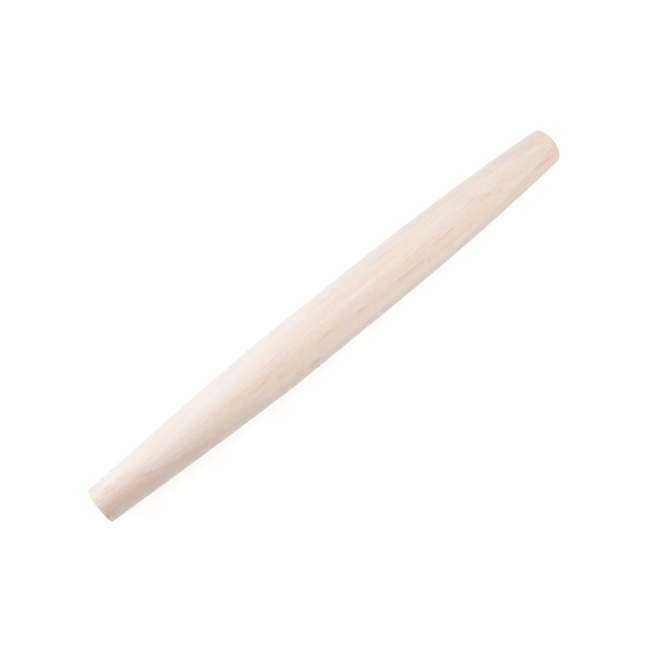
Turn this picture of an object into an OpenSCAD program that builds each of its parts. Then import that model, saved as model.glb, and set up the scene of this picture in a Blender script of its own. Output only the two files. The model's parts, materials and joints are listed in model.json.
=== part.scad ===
// French rolling pin: one piece of pale wood, turned round, with a straight barrel
// in the middle and a long taper at each side of it that ends in a small flat face.
// The pin lies along X. Its axis passes through the origin, midway between the two
// end faces. The slim end points to -X and the stout end to +X, and Z is up.

/* [Barrel] */
// Length of the straight middle
barrel_l = 106; // [60:1:200]
// Diameter of the straight middle, which is the thickest stretch of the pin
barrel_d = 44.7; // [40:0.1:60]

/* [Slim end] */
// Length of the taper from the barrel to the slim end face
slim_taper_l = 170; // [100:1:240]
// Diameter at which the slim taper would meet its end face, before the rim is rounded
slim_end_d = 29.2; // [20:0.1:38]
// How the slim taper falls away: 1 is a straight cone, and more is a fuller curve
slim_curve = 1.22; // [1.05:0.01:2.5]
// Radius of the rounded rim round the slim end face
slim_rim_r = 1; // [0.3:0.1:6]

/* [Stout end] */
// Length of the taper from the barrel to the stout end face
stout_taper_l = 181; // [100:1:240]
// Diameter at which the stout taper would meet its end face, before the rim is rounded
stout_end_d = 31.9; // [20:0.1:38]
// How the stout taper falls away: 1 is a straight cone, and more is a fuller curve
stout_curve = 1.92; // [1.05:0.01:2.5]
// Radius of the rounded rim round the stout end face
stout_rim_r = 0.8; // [0.3:0.1:6]

/* [Hidden] */

// Straight stretches that draw each taper's curve, and each rim's arc
taper_steps = 24;
rim_steps = 6;
// Facets round the pin on screen
round_facets = 144;

barrel_r = barrel_d / 2;
pin_l = slim_taper_l + barrel_l + stout_taper_l;

// Radius of a taper at a share of its length, counted from the barrel
function taper_r(share, drop, curve) = barrel_r - drop * pow(share, curve);

// Outline of one end, from the edge of the barrel to the edge of the end face.
// Each point is [radius, distance from the barrel].
function end_outline(taper_l, end_d, curve, rim_r) =
    let (
        drop = barrel_r - end_d / 2,
        // Angle to the axis at which the taper arrives at the end
        slope = atan(curve * drop / taper_l),
        // Share of the taper at which the rim takes over, tangent to it
        join = 1 - rim_r * (1 - sin(slope)) / taper_l,
        rim_centre = [taper_r(join, drop, curve) - rim_r * cos(slope), taper_l - rim_r]
    )
    concat(
        [for (i = [0 : taper_steps])
            let (share = join * i / taper_steps)
            [taper_r(share, drop, curve), share * taper_l]],
        [for (i = [1 : rim_steps])
            let (turned = slope + (90 - slope) * i / rim_steps)
            rim_centre + rim_r * [cos(turned), sin(turned)]]
    );

// The same points in the opposite order
function backwards(points) = [for (i = [len(points) - 1 : -1 : 0]) points[i]];

// Half the pin's lengthwise section, as [radius, position along the pin]
function pin_outline() =
    let (
        slim = end_outline(slim_taper_l, slim_end_d, slim_curve, slim_rim_r),
        stout = end_outline(stout_taper_l, stout_end_d, stout_curve, stout_rim_r)
    )
    concat(
        [[0, -pin_l / 2]],
        [for (p = backwards(slim)) [p[0], slim_taper_l - pin_l / 2 - p[1]]],
        [for (p = stout) [p[0], pin_l / 2 - stout_taper_l + p[1]]],
        [[0, pin_l / 2]]
    );

module turned_pin() {
    color([0.91, 0.85, 0.79])
    rotate([0, 90, 0])
    rotate_extrude($fn = round_facets)
    polygon(pin_outline());
}

turned_pin();
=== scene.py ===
import json
import math

import bpy
from mathutils import Matrix, Vector


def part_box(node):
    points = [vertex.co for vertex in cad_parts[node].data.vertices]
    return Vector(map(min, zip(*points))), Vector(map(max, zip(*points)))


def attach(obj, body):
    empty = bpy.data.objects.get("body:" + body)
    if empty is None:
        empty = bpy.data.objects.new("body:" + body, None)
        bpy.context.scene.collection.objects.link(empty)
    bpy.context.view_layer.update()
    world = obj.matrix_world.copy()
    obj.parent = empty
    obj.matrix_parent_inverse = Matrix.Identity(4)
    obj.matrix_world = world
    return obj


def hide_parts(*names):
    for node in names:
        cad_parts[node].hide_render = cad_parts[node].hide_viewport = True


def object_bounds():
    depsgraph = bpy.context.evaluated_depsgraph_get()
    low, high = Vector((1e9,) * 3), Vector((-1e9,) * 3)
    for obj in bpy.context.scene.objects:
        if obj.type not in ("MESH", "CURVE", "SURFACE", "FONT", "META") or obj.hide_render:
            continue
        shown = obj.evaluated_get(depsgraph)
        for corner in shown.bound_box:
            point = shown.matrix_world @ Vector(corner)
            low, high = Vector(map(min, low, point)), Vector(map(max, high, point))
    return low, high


# A french rolling pin: one length of pale wood, turned and sanded, on a white studio floor.
# Geometry Nodes turn the pin from the CAD part's rule, and a solid wood texture runs through it.

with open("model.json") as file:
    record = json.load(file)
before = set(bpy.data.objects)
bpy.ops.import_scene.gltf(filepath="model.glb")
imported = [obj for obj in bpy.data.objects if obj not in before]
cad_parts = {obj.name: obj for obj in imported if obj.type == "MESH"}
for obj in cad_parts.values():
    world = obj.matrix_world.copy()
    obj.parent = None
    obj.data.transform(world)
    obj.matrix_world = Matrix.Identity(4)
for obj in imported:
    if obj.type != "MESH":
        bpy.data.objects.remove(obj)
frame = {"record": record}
cadLow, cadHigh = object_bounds()
print("frame loaded, box", tuple(cadLow), tuple(cadHigh))

mm = 0.001  # lengths below are in millimetres unless a note says otherwise
pinLow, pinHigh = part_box("turned_pin")
mounts = {mount["name"]: mount for mount in frame["record"]["mounts"]}


# Node helpers

class Wire:
    # An output socket that takes + - * / and **, so that a formula in a tree reads as one
    def __init__(self, tree, socket):
        self.tree = tree
        self.socket = socket

    def __add__(self, other):
        return calc(self.tree, "ADD", self, other)

    def __radd__(self, other):
        return calc(self.tree, "ADD", other, self)

    def __sub__(self, other):
        return calc(self.tree, "SUBTRACT", self, other)

    def __rsub__(self, other):
        return calc(self.tree, "SUBTRACT", other, self)

    def __mul__(self, other):
        return calc(self.tree, "MULTIPLY", self, other)

    def __rmul__(self, other):
        return calc(self.tree, "MULTIPLY", other, self)

    def __truediv__(self, other):
        return calc(self.tree, "DIVIDE", self, other)

    def __pow__(self, other):
        return calc(self.tree, "POWER", self, other)


def feed(tree, socket, value):
    if isinstance(value, Wire):
        tree.links.new(value.socket, socket)
    else:
        socket.default_value = value


def addNode(tree, kind, feeds=None, **settings):
    node = tree.nodes.new(kind)
    for name, value in settings.items():
        setattr(node, name, value)
    for name, value in (feeds or {}).items():
        feed(tree, node.inputs[name], value)
    return node


def calc(tree, operation, *values):
    node = addNode(tree, "ShaderNodeMath", operation=operation)
    for socket, value in zip(node.inputs, values):
        feed(tree, socket, value)
    return Wire(tree, node.outputs[0])


def vectorCalc(tree, operation, *values):
    node = addNode(tree, "ShaderNodeVectorMath", operation=operation)
    for socket, value in zip(node.inputs, values):
        feed(tree, socket, value)
    scalar = operation in ("LENGTH", "DOT_PRODUCT", "DISTANCE")
    return Wire(tree, node.outputs["Value" if scalar else "Vector"])


def combine(tree, x, y, z):
    node = addNode(tree, "ShaderNodeCombineXYZ", {"X": x, "Y": y, "Z": z})
    return Wire(tree, node.outputs[0])


def split(tree, vector):
    node = addNode(tree, "ShaderNodeSeparateXYZ", {"Vector": vector})
    return [Wire(tree, socket) for socket in node.outputs]


def remap(tree, value, low, high, toLow=0.0, toHigh=1.0, smooth=True):
    node = addNode(tree, "ShaderNodeMapRange", {"Value": value, "From Min": low, "From Max": high,
                                                "To Min": toLow, "To Max": toHigh})
    node.interpolation_type = "SMOOTHSTEP" if smooth else "LINEAR"
    return Wire(tree, node.outputs["Result"])


def noise(tree, vector, seed=0.0, detail=2.0, roughness=0.5):
    node = addNode(tree, "ShaderNodeTexNoise", noise_dimensions="4D")
    feed(tree, node.inputs["Vector"], vector)
    feed(tree, node.inputs["W"], seed)
    feed(tree, node.inputs["Scale"], 1.0)
    feed(tree, node.inputs["Detail"], detail)
    feed(tree, node.inputs["Roughness"], roughness)
    return Wire(tree, node.outputs[0]), Wire(tree, node.outputs["Color"])


def newGroup(name, kind, inputs, outputs):
    # inputs and outputs are {socket name: (socket type, default)}
    tree = bpy.data.node_groups.new(name, kind)
    for label, (socketType, value) in inputs.items():
        socket = tree.interface.new_socket(name=label, in_out="INPUT", socket_type=socketType)
        if value is not None:
            socket.default_value = value
    for label, socketType in outputs.items():
        tree.interface.new_socket(name=label, in_out="OUTPUT", socket_type=socketType)
    source = tree.nodes.new("NodeGroupInput")
    ports = {label: Wire(tree, source.outputs[label]) for label in inputs}
    return tree, ports, tree.nodes.new("NodeGroupOutput")


def useGroup(tree, group, feeds):
    node = addNode(tree, "ShaderNodeGroup", node_tree=group)
    for name, value in feeds.items():
        feed(tree, node.inputs[name], value)
    return node


# The pin's shape. Length, barrel and box come from the frame; the ends repeat the CAD part's rule.

barrel = mounts["barrel"]
pinShape = {
    "Length": pinHigh.x - pinLow.x,
    "Barrel Radius": barrel["dims"]["r_mm"] * mm,
    "Slim Taper": barrel["pos_m"][0] - barrel["dims"]["length_mm"] / 2 * mm - pinLow.x,
    "Slim End Radius": 14.6 * mm,   # where the taper would meet the end face
    "Slim Curve": 1.22,             # 1 is a straight cone, more is fuller
    "Slim Rim": 1.0 * mm,
    "Stout Taper": pinHigh.x - barrel["pos_m"][0] - barrel["dims"]["length_mm"] / 2 * mm,
    "Stout End Radius": 15.95 * mm,
    "Stout Curve": 1.92,
    "Stout Rim": 0.8 * mm,
    "Body Rings": 200,              # per half, from the middle out to the rim
    "Rim Rings": 7,
    "Face Rings": 10,
    "Facets": 120,
    "Ripple": 0.03 * mm,            # how far the turned surface waves along the pin
    "Ripple Length": 19 * mm,
    "Hand Wear": 0.05 * mm,         # slow unevenness left by sanding
    "Face Hollow": 0.12 * mm,
    "Seed": 4.0,
}
pinUnwrap = {"side": 0.86, "gap": 0.006, "faceWidth": 0.058, "faceHeight": 0.235}  # shares of the map


def pinTree(material):
    inputs = {}
    for name, value in pinShape.items():
        kind = "NodeSocketInt" if isinstance(value, int) else "NodeSocketFloat"
        inputs[name] = (kind, value)
    outputs = {"Geometry": "NodeSocketGeometry"}
    tree, port, out = newGroup("turnedPinTree", "GeometryNodeTree", inputs, outputs)

    # A flat grid: one row of points for each ring round the pin
    bodyRings, rimRings, faceRings = port["Body Rings"], port["Rim Rings"], port["Face Rings"]
    half = bodyRings + rimRings + 1 + faceRings
    grid = addNode(tree, "GeometryNodeMeshGrid", {"Size X": 1.0, "Size Y": 1.0, "Vertices X": half * 2 + 1,
                                                  "Vertices Y": port["Facets"] + 1})
    place = Wire(tree, tree.nodes.new("GeometryNodeInputPosition").outputs[0])
    gridX, gridY, _ = split(tree, place)
    ring = calc(tree, "ROUND", gridX * 2 * half)       # 0 in the middle, negative towards the slim end
    slimSide = addNode(tree, "FunctionNodeCompare", {"A": ring, "B": 0.0}, operation="LESS_THAN")

    def choose(test, ifFalse, ifTrue):
        node = addNode(tree, "GeometryNodeSwitch", {"Switch": test, "False": ifFalse, "True": ifTrue},
                       input_type="FLOAT")
        return Wire(tree, node.outputs[0])

    isSlim = Wire(tree, slimSide.outputs[0])
    taper = choose(isSlim, port["Stout Taper"], port["Slim Taper"])
    endRadius = choose(isSlim, port["Stout End Radius"], port["Slim End Radius"])
    curve = choose(isSlim, port["Stout Curve"], port["Slim Curve"])
    rim = choose(isSlim, port["Stout Rim"], port["Slim Rim"])
    away = choose(isSlim, 1.0, -1.0)

    # The rule: a straight barrel, a taper that falls as share ** curve, a rounded rim and a flat face
    halfLength = port["Length"] / 2
    drop = port["Barrel Radius"] - endRadius
    slope = calc(tree, "ARCTANGENT", curve * drop / taper)
    joinAt = halfLength - rim * (1 - calc(tree, "SINE", slope))

    def bodyRadius(reach):
        share = calc(tree, "MAXIMUM", (reach - (halfLength - taper)) / taper, 0.0)
        return port["Barrel Radius"] - drop * share ** curve

    step = calc(tree, "ABSOLUTE", ring)
    bodyReach = joinAt * step / bodyRings
    rimTurn = slope + (math.pi / 2 - slope) * (step - bodyRings) / rimRings
    rimCentre = bodyRadius(joinAt) - rim * calc(tree, "COSINE", slope)
    rimReach = halfLength - rim + rim * calc(tree, "SINE", rimTurn)
    faceShare = 1 - (step - bodyRings - rimRings - 1) / faceRings
    faceReach = halfLength - port["Face Hollow"] * (1 - faceShare * faceShare)

    onBody = addNode(tree, "FunctionNodeCompare", {"A": step, "B": bodyRings + 0.5}, operation="LESS_THAN")
    onFace = addNode(tree, "FunctionNodeCompare", {"A": step, "B": bodyRings + rimRings + 0.5},
                     operation="GREATER_THAN")
    isBody, isFace = Wire(tree, onBody.outputs[0]), Wire(tree, onFace.outputs[0])
    reach = choose(isFace, choose(isBody, rimReach, bodyReach), faceReach)
    rimRadius = rimCentre + rim * calc(tree, "COSINE", rimTurn)
    radius = choose(isFace, choose(isBody, rimRadius, bodyRadius(bodyReach)), rimCentre * faceShare)
    along = reach * away

    # Ripples left by the lathe go round the pin, hand sanding leaves slow uneven places
    seamTurn = math.pi / 2                       # the seam lies underneath
    turn = gridY * (2 * math.pi) + seamTurn
    across, up = calc(tree, "COSINE", turn), calc(tree, "SINE", turn)
    rippleValue, _ = noise(tree, combine(tree, along / port["Ripple Length"], 0.0, 0.0), port["Seed"], 1.0)
    wearPlace = combine(tree, along * 25, across * 1.6, up * 1.6)
    wearValue, _ = noise(tree, wearPlace, port["Seed"] + 7, 1.0)
    uneven = (rippleValue - 0.5) * 2 * port["Ripple"] + (wearValue - 0.5) * 2 * port["Hand Wear"]
    radius = radius * (1 + uneven / port["Barrel Radius"])
    shaped = addNode(tree, "GeometryNodeSetPosition",
                     {"Geometry": Wire(tree, grid.outputs["Mesh"]),
                      "Position": combine(tree, along, across * radius, up * radius)})

    # The unwrap: the side is one strip with the grain along it, the two end faces stand beside it
    sideWidth, gap = pinUnwrap["side"], pinUnwrap["gap"]
    rimLong = rim * (math.pi / 2 - slope)
    outlineHalf = halfLength + 2 * mm
    outline = choose(isBody, joinAt + rimLong * (step - bodyRings) / rimRings, bodyReach) * away
    sideU = (outline / outlineHalf * 0.5 + 0.5) * sideWidth + gap
    sideV = (gridY + 0.5) * (1 - 2 * gap) + gap
    faceU = across * faceShare * pinUnwrap["faceWidth"] + (1 + sideWidth + gap) / 2
    faceV = up * faceShare * pinUnwrap["faceHeight"] + 0.5 + 0.25 * away
    mapU, mapV = choose(isFace, sideU, faceU), choose(isFace, sideV, faceV)
    unwrapped = addNode(tree, "GeometryNodeStoreNamedAttribute",
                        {"Geometry": Wire(tree, shaped.outputs[0]), "Name": "OFBake"},
                        data_type="FLOAT2", domain="CORNER")
    feed(tree, unwrapped.inputs["Value"], combine(tree, mapU, mapV, 0.0))

    # The grid's two long edges meet, and the last rings close on the axis
    merged = addNode(tree, "GeometryNodeMergeByDistance",
                     {"Geometry": Wire(tree, unwrapped.outputs[0]), "Distance": 0.002 * mm})
    outward = addNode(tree, "GeometryNodeFlipFaces", {"Mesh": Wire(tree, merged.outputs[0])})
    smooth = addNode(tree, "GeometryNodeSetShadeSmooth", {"Geometry": Wire(tree, outward.outputs[0])})
    realized = addNode(tree, "GeometryNodeRealizeInstances", {"Geometry": Wire(tree, smooth.outputs[0])})
    dressed = addNode(tree, "GeometryNodeSetMaterial",
                      {"Geometry": Wire(tree, realized.outputs[0]), "Material": material})
    tree.links.new(dressed.outputs[0], out.inputs["Geometry"])
    return tree


def makePin(material):
    tree = pinTree(material)
    piece = bpy.data.objects.new("turnedPin", bpy.data.meshes.new("turnedPin"))
    bpy.context.scene.collection.objects.link(piece)
    modifier = piece.modifiers.new("turnedPinTree", "NODES")
    modifier.node_group = tree
    for item in tree.interface.items_tree:
        if item.in_out == "INPUT":
            modifier[item.identifier] = pinShape[item.name]
    turned = bpy.data.meshes.new_from_object(piece.evaluated_get(bpy.context.evaluated_depsgraph_get()))
    piece.modifiers.clear()
    piece.data = turned
    turned.name = "turnedPin"
    print("pin turned,", len(turned.vertices), "points,", len(turned.polygons), "faces")
    return piece


# The wood. One solid texture in the piece's own coordinates, so rings, pores and streaks run
# through the side and come out on the end faces.

wood = {
    "cream": (0.785, 0.682, 0.617),
    "palest": (0.990, 1.030, 1.060),    # tints, which multiply the cream
    "lateWood": (0.982, 0.935, 0.922),
    "lateEdge": (0.960, 0.930, 0.925),
    "endGrain": (0.94, 0.88, 0.81),
    "endRing": (0.90, 0.82, 0.75),
    "endPore": (0.82, 0.74, 0.66),
    "endToolMark": (0.95, 0.94, 0.93),
}
# Streaks that run with the grain, from clouds down to fibres. Long and wide are the size of one
# streak, low and high set how much of the wood it covers, and the tint is its colour at full strength.
woodStreaks = {
    "yellowCloud": dict(long=75, wide=6.5, low=0.45, high=0.70, seed=11.0, tint=(1.0, 0.990, 0.945)),
    "pinkCloud": dict(long=60, wide=6, low=0.45, high=0.70, seed=23.0, tint=(0.990, 0.962, 0.948)),
    "paleBand": dict(long=90, wide=3.0, low=0.48, high=0.75, seed=31.0, tint=(1.012, 1.034, 1.052)),
    "pinkBand": dict(long=70, wide=2.0, low=0.47, high=0.75, seed=37.0, tint=(0.986, 0.948, 0.925)),
    "pinkLine": dict(long=38, wide=0.8, low=0.47, high=0.72, seed=43.0, tint=(0.982, 0.925, 0.893)),
    "vessel": dict(long=10, wide=0.5, low=0.54, high=0.74, seed=41.0, tint=(0.950, 0.850, 0.790)),
    "speck": dict(long=2.6, wide=0.75, low=0.58, high=0.74, seed=67.0, tint=(0.930, 0.870, 0.850)),
    "fleck": dict(long=4, wide=0.9, low=0.58, high=0.72, seed=47.0, tint=(0.990, 0.905, 0.770)),
    "rayFleck": dict(long=1.5, wide=2.2, low=0.60, high=0.72, seed=71.0, tint=(1.0, 0.940, 0.790)),
    "fibre": dict(long=5, wide=0.28, low=0.35, high=0.70, seed=53.0, tint=(0.970, 0.926, 0.905)),
}
surface = {
    "smoothest": 0.50,       # roughness between the fibres, and on them
    "roughest": 0.60,
    "endRougher": 0.12,
    "vesselDepth": 0.6,      # shares of the bump's height
    "fibreDepth": 0.35,
    "bump": 0.5,
    "bumpHeight": 0.06,
    "specular": 0.9,
    "sheen": 1.0,            # raised fibres make the bare wood paler towards its outline
    "sheenRoughness": 0.5,
    "toolStep": 0.9,         # between the circles on the end faces
}
rings = {
    "turned": 18.1,      # degrees from the top towards the front, of the side away from the pith
    "pithAway": 45.0,    # from the pin's axis to the pith line
    "firstRing": 16.4,   # a ring's edge, counted outwards from the pith line, at the pin's axis
    "ringWidth": 9.0,
    "bow": 0.48,         # the ring's edge rises and falls this much along the pin
    "bowPeak": 172.0,    # from the middle to where it stands highest
    "bowLength": 145.0,
    "wander": 0.24,
    "ragged": 0.20,      # where fibres cross a ring's edge
}


def growthRings():
    # How far through its year the wood is at each point, 0 just after a ring's edge
    tree, port, out = newGroup(
        "growthRings", "ShaderNodeTree",
        {"Vector": ("NodeSocketVector", None), "Pith": ("NodeSocketVector", (0.0, 0.0, 0.0)),
         "Edge": ("NodeSocketFloat", 0.0), "Ring Width": ("NodeSocketFloat", 9.0),
         "Bow": ("NodeSocketFloat", 0.0), "Bow Peak": ("NodeSocketFloat", 0.0),
         "Bow Length": ("NodeSocketFloat", 100.0), "Wander": ("NodeSocketFloat", 0.0),
         "Ragged": ("NodeSocketFloat", 0.0), "Seed": ("NodeSocketFloat", 0.0)},
        {"Year": "NodeSocketFloat"})
    along, across, up = split(tree, port["Vector"])
    pithX, pithY, pithZ = split(tree, port["Pith"])
    side = across - pithY
    rise = up - pithZ
    away = calc(tree, "SQRT", side * side + rise * rise)
    bowTurn = (calc(tree, "ABSOLUTE", along) - port["Bow Peak"]) / port["Bow Length"] * (2 * math.pi)
    slow, _ = noise(tree, combine(tree, along / 60, across / 14, up / 14), port["Seed"], 2.0)
    fine, _ = noise(tree, combine(tree, along / 9, across / 0.9, up / 0.9), port["Seed"] + 3, 1.0)
    wander = (slow - 0.5) * 2 * port["Wander"] + (fine - 0.5) * 2 * port["Ragged"]
    depth = away - port["Edge"] - port["Bow"] * calc(tree, "COSINE", bowTurn) + wander
    feed(tree, out.inputs["Year"], calc(tree, "FRACT", depth / port["Ring Width"]))
    return tree


def grainStreaks():
    # Streaks that run with the grain: 0 between them and 1 in their middles
    tree, port, out = newGroup(
        "grainStreaks", "ShaderNodeTree",
        {"Vector": ("NodeSocketVector", None), "Length": ("NodeSocketFloat", 10.0),
         "Width": ("NodeSocketFloat", 1.0), "Low": ("NodeSocketFloat", 0.4),
         "High": ("NodeSocketFloat", 0.7), "Detail": ("NodeSocketFloat", 1.0),
         "Seed": ("NodeSocketFloat", 0.0)},
        {"Mask": "NodeSocketFloat"})
    size = combine(tree, port["Length"], port["Width"], port["Width"])
    value, _ = noise(tree, vectorCalc(tree, "DIVIDE", port["Vector"], size), port["Seed"], port["Detail"])
    feed(tree, out.inputs["Mask"], remap(tree, value, port["Low"], port["High"]))
    return tree


def woodMark():
    # One spot or streak round a point: 1 in its middle, ragged where the grain cuts its edge
    tree, port, out = newGroup(
        "woodMark", "ShaderNodeTree",
        {"Vector": ("NodeSocketVector", None), "Grain": ("NodeSocketFloat", 0.5),
         "Ragged": ("NodeSocketFloat", 0.5), "Strength": ("NodeSocketFloat", 1.0)},
        {"Mask": "NodeSocketFloat"})
    away = vectorCalc(tree, "LENGTH", port["Vector"]) + (port["Grain"] - 0.5) * port["Ragged"]
    feed(tree, out.inputs["Mask"], remap(tree, away, 1.0, 0.25) * port["Strength"])
    return tree


# Marks that this pin has, and broad tints where a stretch of it is paler or darker as a whole. Five of the
# broad tints are painted light: painted highlights along the back and on the slim end's upper side, a painted
# reflection low on the front, and painted shade across the front and on the slim end's lower side.
# Along is from the middle towards the stout end, around is in degrees from the top towards the
# front, long and wide are half a mark's size, and slant turns a streak out of the grain.
woodMarks = {
    "hookedStreakTip": dict(along=-79.5, around=26.5, long=9, wide=1.5, slant=-12, tint=(0.975, 0.89, 0.81)),
    "hookedStreakTail": dict(along=-87, around=32, long=7, wide=1.2, slant=-6, tint=(0.975, 0.91, 0.85)),
    "brownSpot": dict(along=-68.5, around=40.5, long=4.0, wide=2.4, slant=0, tint=(0.96, 0.86, 0.69)),
    "darkDot": dict(along=-56.5, around=60.5, long=1.5, wide=1.4, slant=0, tint=(0.74, 0.65, 0.60)),
    "brownPatch": dict(along=-40, around=67, long=8, wide=2.2, slant=-3, tint=(0.82, 0.735, 0.665)),
    "darkStreak": dict(along=-21, around=32.5, long=10, wide=1.3, slant=0, tint=(0.94, 0.86, 0.79)),
    "orangeStreak": dict(along=96, around=29, long=10, wide=1.4, slant=3, tint=(0.975, 0.885, 0.80)),
    "orangeStreakEnd": dict(along=107, around=27, long=9, wide=1.1, slant=0, tint=(0.985, 0.86, 0.75)),
    "crossMark": dict(along=161.6, around=31, long=1.3, wide=2.8, slant=0, tint=(1.0, 0.89, 0.73)),
    "greySpeck": dict(along=176.9, around=-38, long=1.7, wide=1.6, slant=0, tint=(0.68, 0.64, 0.63)),
    "pinkDot": dict(along=79.6, around=48.5, long=1.6, wide=1.4, slant=0, tint=(0.84, 0.76, 0.71)),
    # Painted highlight: a paler, whiter band along the back, where the light falls
    "paintedBackHighlight": dict(along=-50, around=-45, long=215, wide=11, slant=0, tint=(1.01, 1.035, 1.07)),
    # Painted reflection: a paler band low on the front
    "paintedFrontReflection": dict(along=36, around=62, long=195, wide=7, slant=0, tint=(1.06, 1.075, 1.105)),
    # Painted shade: a darker band across the front
    "paintedFrontShade": dict(along=70, around=41, long=150, wide=6, slant=0, tint=(0.972, 0.965, 0.965)),
    "paleTip": dict(along=-186, around=13, long=24, wide=8, slant=0, tint=(1.005, 1.025, 1.035)),
    # Painted shade on the lower front of the slim end, together with darker warm wood there
    "paintedSlimShade": dict(along=-205, around=65, long=130, wide=12, slant=0, tint=(0.925, 0.90, 0.902)),
    "slimEndPink": dict(along=-214, around=-7, long=24, wide=4.5, slant=0, tint=(0.955, 0.92, 0.905)),
    # Painted highlight: a paler, whiter stretch on the slim end's upper side
    "paintedSlimHighlight": dict(along=-212, around=-35, long=34, wide=6.5, slant=0, tint=(1.01, 1.055, 1.085)),
    "midShade": dict(along=-30, around=0, long=60, wide=4.5, slant=0, tint=(0.97, 0.962, 0.962)),
    "warmTip": dict(along=-206, around=32, long=38, wide=9.0, slant=3, tint=(0.965, 0.92, 0.895)),
    "lowStreakA": dict(along=13, around=38, long=13, wide=1.7, slant=0, tint=(0.94, 0.87, 0.82)),
    "lowStreakB": dict(along=58, around=39.5, long=23, wide=1.7, slant=0, tint=(0.94, 0.86, 0.81)),
    "lowStreakC": dict(along=124, around=46, long=7, wide=1.4, slant=0, tint=(0.95, 0.91, 0.88)),
    "highLine": dict(along=-4, around=-26.7, long=30, wide=1.5, slant=0, tint=(0.935, 0.87, 0.82)),
    "highLineB": dict(along=-5, around=-9, long=14, wide=1.1, slant=0, tint=(0.955, 0.90, 0.87)),
    "highLineC": dict(along=53, around=-22, long=22, wide=1.1, slant=0, tint=(0.96, 0.92, 0.88)),
    "midLine": dict(along=-69, around=5.8, long=17, wide=1.1, slant=0, tint=(0.955, 0.91, 0.88)),
    "midLineB": dict(along=68.5, around=8.2, long=8, wide=1.1, slant=0, tint=(0.95, 0.90, 0.86)),
    "midDashA": dict(along=138, around=4.5, long=8, wide=1.3, slant=0, tint=(0.91, 0.81, 0.73)),
    "midDashB": dict(along=150.5, around=17.5, long=6, wide=0.9, slant=0, tint=(0.94, 0.87, 0.82)),
    "midDashC": dict(along=129, around=19.8, long=5, wide=1.0, slant=0, tint=(0.95, 0.88, 0.83)),
    "stoutPatch": dict(along=207, around=-8.6, long=8, wide=2.0, slant=0, tint=(0.97, 0.94, 0.925)),
    "stoutLowStreak": dict(along=210, around=48, long=15, wide=2.2, slant=3, tint=(0.885, 0.81, 0.765)),
    "stoutHighStreak": dict(along=204, around=-26, long=28, wide=4.5, slant=4, tint=(0.965, 0.92, 0.905)),
    "calmShade": dict(along=-100, around=-20, long=130, wide=20, slant=0, tint=(0.975, 0.962, 0.96)),
    "midPale": dict(along=95, around=9, long=115, wide=9, slant=0, tint=(1.0, 1.02, 1.032)),
    "highPale": dict(along=80, around=-29, long=40, wide=1.8, slant=0, tint=(1.005, 1.04, 1.055)),
    "stoutArcA": dict(along=160, around=-17, long=28, wide=1.9, slant=8.7, tint=(1.01, 1.045, 1.03)),
    "stoutArcB": dict(along=200, around=-1.5, long=28, wide=1.9, slant=6.6, tint=(1.005, 1.04, 1.045)),
    "palePatch": dict(along=-43, around=38, long=12, wide=2.8, slant=0, tint=(1.01, 1.04, 1.06)),
    "paleStreakA": dict(along=-4, around=4.5, long=14, wide=1.6, slant=0, tint=(1.01, 1.045, 1.07)),
    "paleStreakB": dict(along=19, around=8, long=18, wide=2.4, slant=0, tint=(1.01, 1.04, 1.065)),
    "paleStreakC": dict(along=82, around=30, long=12, wide=1.6, slant=0, tint=(1.01, 1.045, 1.07)),
    "slimRimBrown": dict(along=-227.0, around=55, long=7, wide=4.2, slant=0, tint=(0.86, 0.80, 0.72)),
    "slimRimYellow": dict(along=-227.6, around=-5, long=3.0, wide=8.0, slant=0, tint=(1.0, 0.975, 0.90)),
    "stoutRimPink": dict(along=227.8, around=25, long=2.6, wide=8.0, slant=0, tint=(0.95, 0.90, 0.86)),
}


# A stretch of even wood, where this share of the streaks' strength is gone
calmWood = dict(along=-105, around=-26, long=145, wide=20, slant=0, strength=0.65)


def markMapping(tree, place, mark):
    # Object coordinates turned and scaled so that the mark is the unit ball
    turn = math.radians(mark["around"])
    outward = Vector((0.0, -math.sin(turn), math.cos(turn)))
    sideways = Vector((0.0, -math.cos(turn), -math.sin(turn)))
    slant = math.radians(mark["slant"])
    grainWay = Vector((math.cos(slant), 0.0, 0.0)) + sideways * math.sin(slant)
    crossWay = outward.cross(grainWay)
    angles = Matrix((grainWay, crossWay, outward)).transposed().to_euler()
    centre = outward * surfaceRadius(mark["along"]) + Vector((mark["along"], 0.0, 0.0))
    node = addNode(tree, "ShaderNodeMapping", {"Vector": place, "Location": centre, "Rotation": angles},
                   vector_type="TEXTURE")
    node.inputs["Scale"].default_value = (mark["long"], mark["wide"], mark["wide"])
    return Wire(tree, node.outputs[0])


def surfaceRadius(along):
    # The pin's radius in millimetres, by the same rule as its shape
    end = "Slim" if along < 0 else "Stout"
    taper = pinShape[end + " Taper"] / mm
    reach = abs(along) - (pinShape["Length"] / mm / 2 - taper)
    share = max(0.0, reach / taper)
    barrelRadius = pinShape["Barrel Radius"] / mm
    drop = barrelRadius - pinShape[end + " End Radius"] / mm
    return barrelRadius - drop * share ** pinShape[end + " Curve"]


def mixed(tree, amount, first, second, blend="MIX"):
    node = addNode(tree, "ShaderNodeMix", data_type="RGBA", blend_type=blend)
    for socket, value in ((node.inputs[0], amount), (node.inputs[6], first), (node.inputs[7], second)):
        if isinstance(value, tuple):
            value = (*value, 1.0)
        feed(tree, socket, value)
    return Wire(tree, node.outputs[2])


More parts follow.
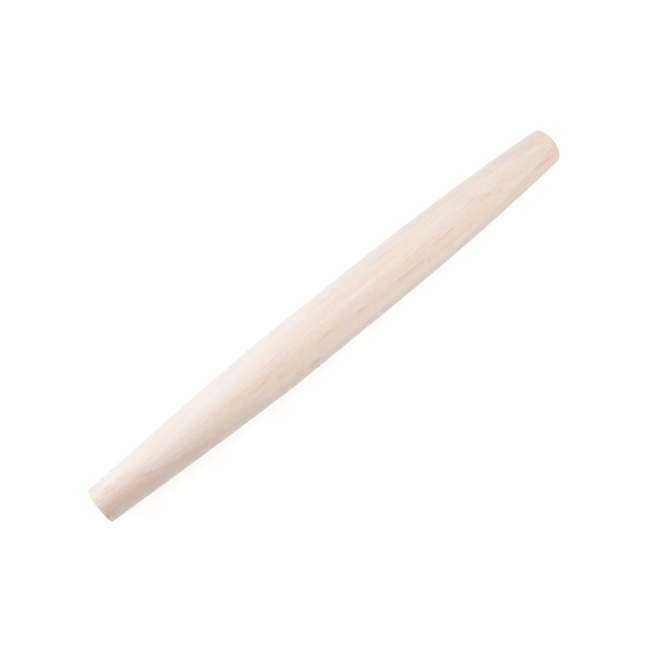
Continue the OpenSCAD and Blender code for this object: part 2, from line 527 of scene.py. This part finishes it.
def makeWood():
    material = bpy.data.materials.new("paleTurnedWood")
    material.use_nodes = True
    tree = material.node_tree
    tree.nodes.clear()
    ringGroup, streakGroup, markGroup = growthRings(), grainStreaks(), woodMark()
    coordinates = addNode(tree, "ShaderNodeTexCoord")
    toMm = addNode(tree, "ShaderNodeMapping", {"Vector": Wire(tree, coordinates.outputs["Object"]),
                                               "Scale": (1 / mm, 1 / mm, 1 / mm)})
    place = Wire(tree, toMm.outputs[0])

    # The grain drifts a little sideways as it runs along the blank
    along, across, up = split(tree, place)
    _, driftColor = noise(tree, combine(tree, along / 85, across / 22, up / 22), 2.0, 1.0)
    drift = vectorCalc(tree, "MULTIPLY", vectorCalc(tree, "SUBTRACT", driftColor, (0.5, 0.5, 0.5)),
                       (0.0, 2.6, 2.6))
    grain = vectorCalc(tree, "ADD", place, drift)

    def streaks(long, wide, low, high, seed, detail=1.0):
        node = useGroup(tree, streakGroup, {"Vector": grain, "Length": long, "Width": wide, "Low": low,
                                            "High": high, "Detail": detail, "Seed": seed})
        return Wire(tree, node.outputs["Mask"])

    ringSide = math.radians(rings["turned"])
    pith = Vector((0.0, math.sin(ringSide), -math.cos(ringSide))) * rings["pithAway"]
    ring = useGroup(tree, ringGroup, {
        "Vector": place, "Pith": pith, "Edge": rings["pithAway"] + rings["firstRing"],
        "Ring Width": rings["ringWidth"], "Bow": rings["bow"], "Bow Peak": rings["bowPeak"],
        "Bow Length": rings["bowLength"], "Wander": rings["wander"],
        "Ragged": rings["ragged"], "Seed": 5.0})
    year = Wire(tree, ring.outputs["Year"])

    # Through a year: a pale start, plain cream, then pinker and darker up to the sharp edge
    paleStart = remap(tree, year, 0.24, 0.04)
    lateWood = remap(tree, year, 0.45, 0.90)
    lateEdge = remap(tree, year, 0.95, 0.99)
    color = mixed(tree, paleStart * 0.75, wood["cream"], wood["palest"], "MULTIPLY")
    # The late wood is real ring colour; its fading towards the back is a painted highlight washing the rings
    # out on the lit side
    lateWoodPaintedLight = remap(tree, across, 3.0, -8.0, 0.30, 1.0)    # the late wood is fainter towards the back
    color = mixed(tree, lateWood * lateWoodPaintedLight, color, wood["lateWood"], "MULTIPLY")
    color = mixed(tree, lateEdge * lateWoodPaintedLight, color, wood["lateEdge"], "MULTIPLY")

    calm = useGroup(tree, markGroup, {"Vector": markMapping(tree, place, calmWood), "Grain": 0.5,
                                      "Ragged": 0.0, "Strength": calmWood["strength"]})
    shown = 1 - Wire(tree, calm.outputs["Mask"])
    masks = {}
    for name, streak in woodStreaks.items():
        masks[name] = streaks(streak["long"], streak["wide"], streak["low"], streak["high"], streak["seed"])
        color = mixed(tree, masks[name] * shown, color, streak["tint"], "MULTIPLY")
    vessels, fibres = masks["vessel"], masks["fibre"]

    ragged = streaks(6, 0.7, 0.2, 0.8, 61.0)
    for name, mark in woodMarks.items():
        spot = useGroup(tree, markGroup, {"Vector": markMapping(tree, place, mark), "Grain": ragged,
                                          "Ragged": 0.7, "Strength": 1.0})
        color = mixed(tree, Wire(tree, spot.outputs["Mask"]), color, mark["tint"], "MULTIPLY")

    # End grain drinks more light. Its rings are plainer, its pores are dots, and the tool left circles.
    halfLength = pinShape["Length"] / mm / 2
    endGrain = remap(tree, calc(tree, "ABSOLUTE", along), halfLength - 0.45, halfLength - 0.1)
    pores = useGroup(tree, streakGroup, {"Vector": place, "Length": 6.0, "Width": 0.32, "Low": 0.56,
                                         "High": 0.68, "Detail": 0.0, "Seed": 83.0})
    fromAxis = calc(tree, "SQRT", across * across + up * up)
    circles = calc(tree, "SINE", fromAxis * (2 * math.pi / surface["toolStep"]))
    endMasks = {"endGrain": 1.0, "endRing": lateWood, "endPore": Wire(tree, pores.outputs["Mask"]),
                "endToolMark": remap(tree, circles, 0.2, 1.0)}
    for tint, mask in endMasks.items():
        color = mixed(tree, endGrain * mask, color, wood[tint], "MULTIPLY")

    roughValue = remap(tree, fibres, 0.0, 1.0, surface["smoothest"], surface["roughest"])
    roughValue = roughValue + endGrain * surface["endRougher"]
    height = vessels * -surface["vesselDepth"] + fibres * -surface["fibreDepth"]
    bump = addNode(tree, "ShaderNodeBump", {
        "Strength": surface["bump"], "Distance": surface["bumpHeight"] * mm, "Height": height})

    shader = addNode(tree, "ShaderNodeBsdfPrincipled", {
        "Base Color": color, "Roughness": roughValue, "Specular IOR Level": surface["specular"],
        "Sheen Weight": surface["sheen"], "Sheen Roughness": surface["sheenRoughness"],
        "Normal": Wire(tree, bump.outputs[0])})
    output = tree.nodes.new("ShaderNodeOutputMaterial")
    tree.links.new(shader.outputs[0], output.inputs["Surface"])
    print("wood mixed,", len(tree.nodes), "nodes,", len(woodMarks), "marks")
    return material


# The studio: a white floor, a white surround and soft lamps

studio = {"floorSize": 24.0, "ambient": 0.03, "floorGlow": 0.80, "farGlow": 1.0, "floorPaint": 0.28,
          "floorBounce": 0.80, "nearFloor": 0.42, "farFloor": 1.0}
studioLamps = {   # place and size in metres, power in watts; every lamp faces the middle of the pin
    "windowSoftbox": dict(place=(-0.76, 0.72, 0.62), size=0.9, power=8.75, tint=(0.892, 1.0, 1.088)),
    "lowBackSoftbox": dict(place=(0.0, 0.75, 0.33), size=0.6, power=1.8, tint=(0.91, 1.0, 1.085)),
    "backRightSoftbox": dict(place=(0.60, 0.75, 0.50), size=0.5, power=1.1, tint=(0.925, 1.0, 1.07)),
    "overheadSoftbox": dict(place=(0.10, 0.0, 1.10), size=0.9, power=5.2, tint=(1.03, 1.0, 0.947)),
    "frontRightSoftbox": dict(place=(0.60, -0.80, 0.50), size=0.6, power=3.75, tint=(1.03, 1.0, 0.982)),
    "slimEndFill": dict(place=(-1.0, 0.0, 0.35), size=0.5, power=0.5, tint=(1.0, 1.0, 1.0)),
    "stoutEndFill": dict(place=(1.0, 0.0, 0.35), size=0.5, power=0.5, tint=(1.0, 1.0, 1.0)),
    "frontSoftbox": dict(place=(0.05, -0.80, 0.55), size=0.6, power=2.1, tint=(1.03, 1.0, 0.982)),
}


def seenDirectly(tree):
    # 1 for the camera and for what shows in gloss or through glass, 0 for light on surfaces
    path = addNode(tree, "ShaderNodeLightPath")
    direct, glossy, through = [Wire(tree, path.outputs["Is " + kind + " Ray"])
                               for kind in ("Camera", "Glossy", "Transmission")]
    return calc(tree, "MINIMUM", direct + glossy + through, 1.0)


def makeWorld():
    world = bpy.data.worlds.new("whiteStudio")
    world.use_nodes = True
    tree = world.node_tree
    tree.nodes.clear()
    strength = remap(tree, seenDirectly(tree), 0.0, 1.0, studio["ambient"], 1.0, smooth=False)
    light = addNode(tree, "ShaderNodeBackground", {"Color": (1.0, 1.0, 1.0, 1.0), "Strength": strength})
    output = tree.nodes.new("ShaderNodeOutputWorld")
    tree.links.new(light.outputs[0], output.inputs["Surface"])
    bpy.context.scene.world = world


def makeFloor():
    half = studio["floorSize"] / 2
    mesh = bpy.data.meshes.new("studioFloor")
    corners = [(x * half, y * half, cadLow.z) for x, y in ((-1, -1), (1, -1), (1, 1), (-1, 1))]
    mesh.from_pydata(corners, [], [(0, 1, 2, 3)])
    floor = bpy.data.objects.new("studioFloor", mesh)
    bpy.context.scene.collection.objects.link(floor)
    material = bpy.data.materials.new("whiteFloor")
    material.use_nodes = True
    tree = material.node_tree
    tree.nodes.clear()
    seen = seenDirectly(tree)
    paint = addNode(tree, "ShaderNodeBsdfDiffuse")
    grey = mixed(tree, seen, (studio["floorBounce"],) * 3, (studio["floorPaint"],) * 3)
    feed(tree, paint.inputs["Color"], grey)
    # The sweep stays white where the lamps no longer reach, and keeps the shadow near the pin
    coordinates = addNode(tree, "ShaderNodeTexCoord")
    floorX, floorY, _ = split(tree, Wire(tree, coordinates.outputs["Object"]))
    away = calc(tree, "SQRT", floorX * floorX + floorY * floorY)
    level = remap(tree, away, studio["nearFloor"], studio["farFloor"], studio["floorGlow"], studio["farGlow"])
    glow = addNode(tree, "ShaderNodeEmission", {"Color": (1.0, 1.0, 1.0, 1.0), "Strength": seen * level})
    both = tree.nodes.new("ShaderNodeAddShader")
    tree.links.new(paint.outputs[0], both.inputs[0])
    tree.links.new(glow.outputs[0], both.inputs[1])
    output = tree.nodes.new("ShaderNodeOutputMaterial")
    tree.links.new(both.outputs[0], output.inputs["Surface"])
    mesh.materials.append(material)


def makeLamps():
    for name, lamp in studioLamps.items():
        data = bpy.data.lights.new(name, "AREA")
        data.shape = "DISK"
        data.size = lamp["size"]
        data.energy = lamp["power"]
        data.color = lamp["tint"]
        box = bpy.data.objects.new(name, data)
        box.location = lamp["place"]
        box.rotation_euler = box.location.to_track_quat("Z", "Y").to_euler()
        box.visible_camera = False
        bpy.context.scene.collection.objects.link(box)
    print("studio lit,", len(studioLamps), "lamps")


# The camera, fitted to the pin's outline in the photograph
shot = {"aim": (-13.5, -0.387, -0.102), "azimuth": -40.53, "elevation": 70.86, "distance": 700.7,
        "lens": 50.0, "sensor": 36.0}


def makeCamera():
    data = bpy.data.cameras.new("photoCamera")
    data.sensor_width = shot["sensor"]
    data.lens = shot["lens"]
    data.clip_start = 0.02
    azimuth, elevation = math.radians(shot["azimuth"]), math.radians(shot["elevation"])
    back = Vector((math.sin(azimuth) * math.cos(elevation), -math.cos(azimuth) * math.cos(elevation),
                   math.sin(elevation)))
    camera = bpy.data.objects.new("photoCamera", data)
    camera.location = (Vector(shot["aim"]) + back * shot["distance"]) * mm
    camera.rotation_euler = back.to_track_quat("Z", "Y").to_euler()
    bpy.context.scene.collection.objects.link(camera)
    bpy.context.scene.camera = camera


bpy.context.scene.view_settings.view_transform = "Standard"
makeCamera()
makeWorld()
makeFloor()
makeLamps()

turnedPin = makePin(makeWood())
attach(turnedPin, "root")
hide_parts("turned_pin")
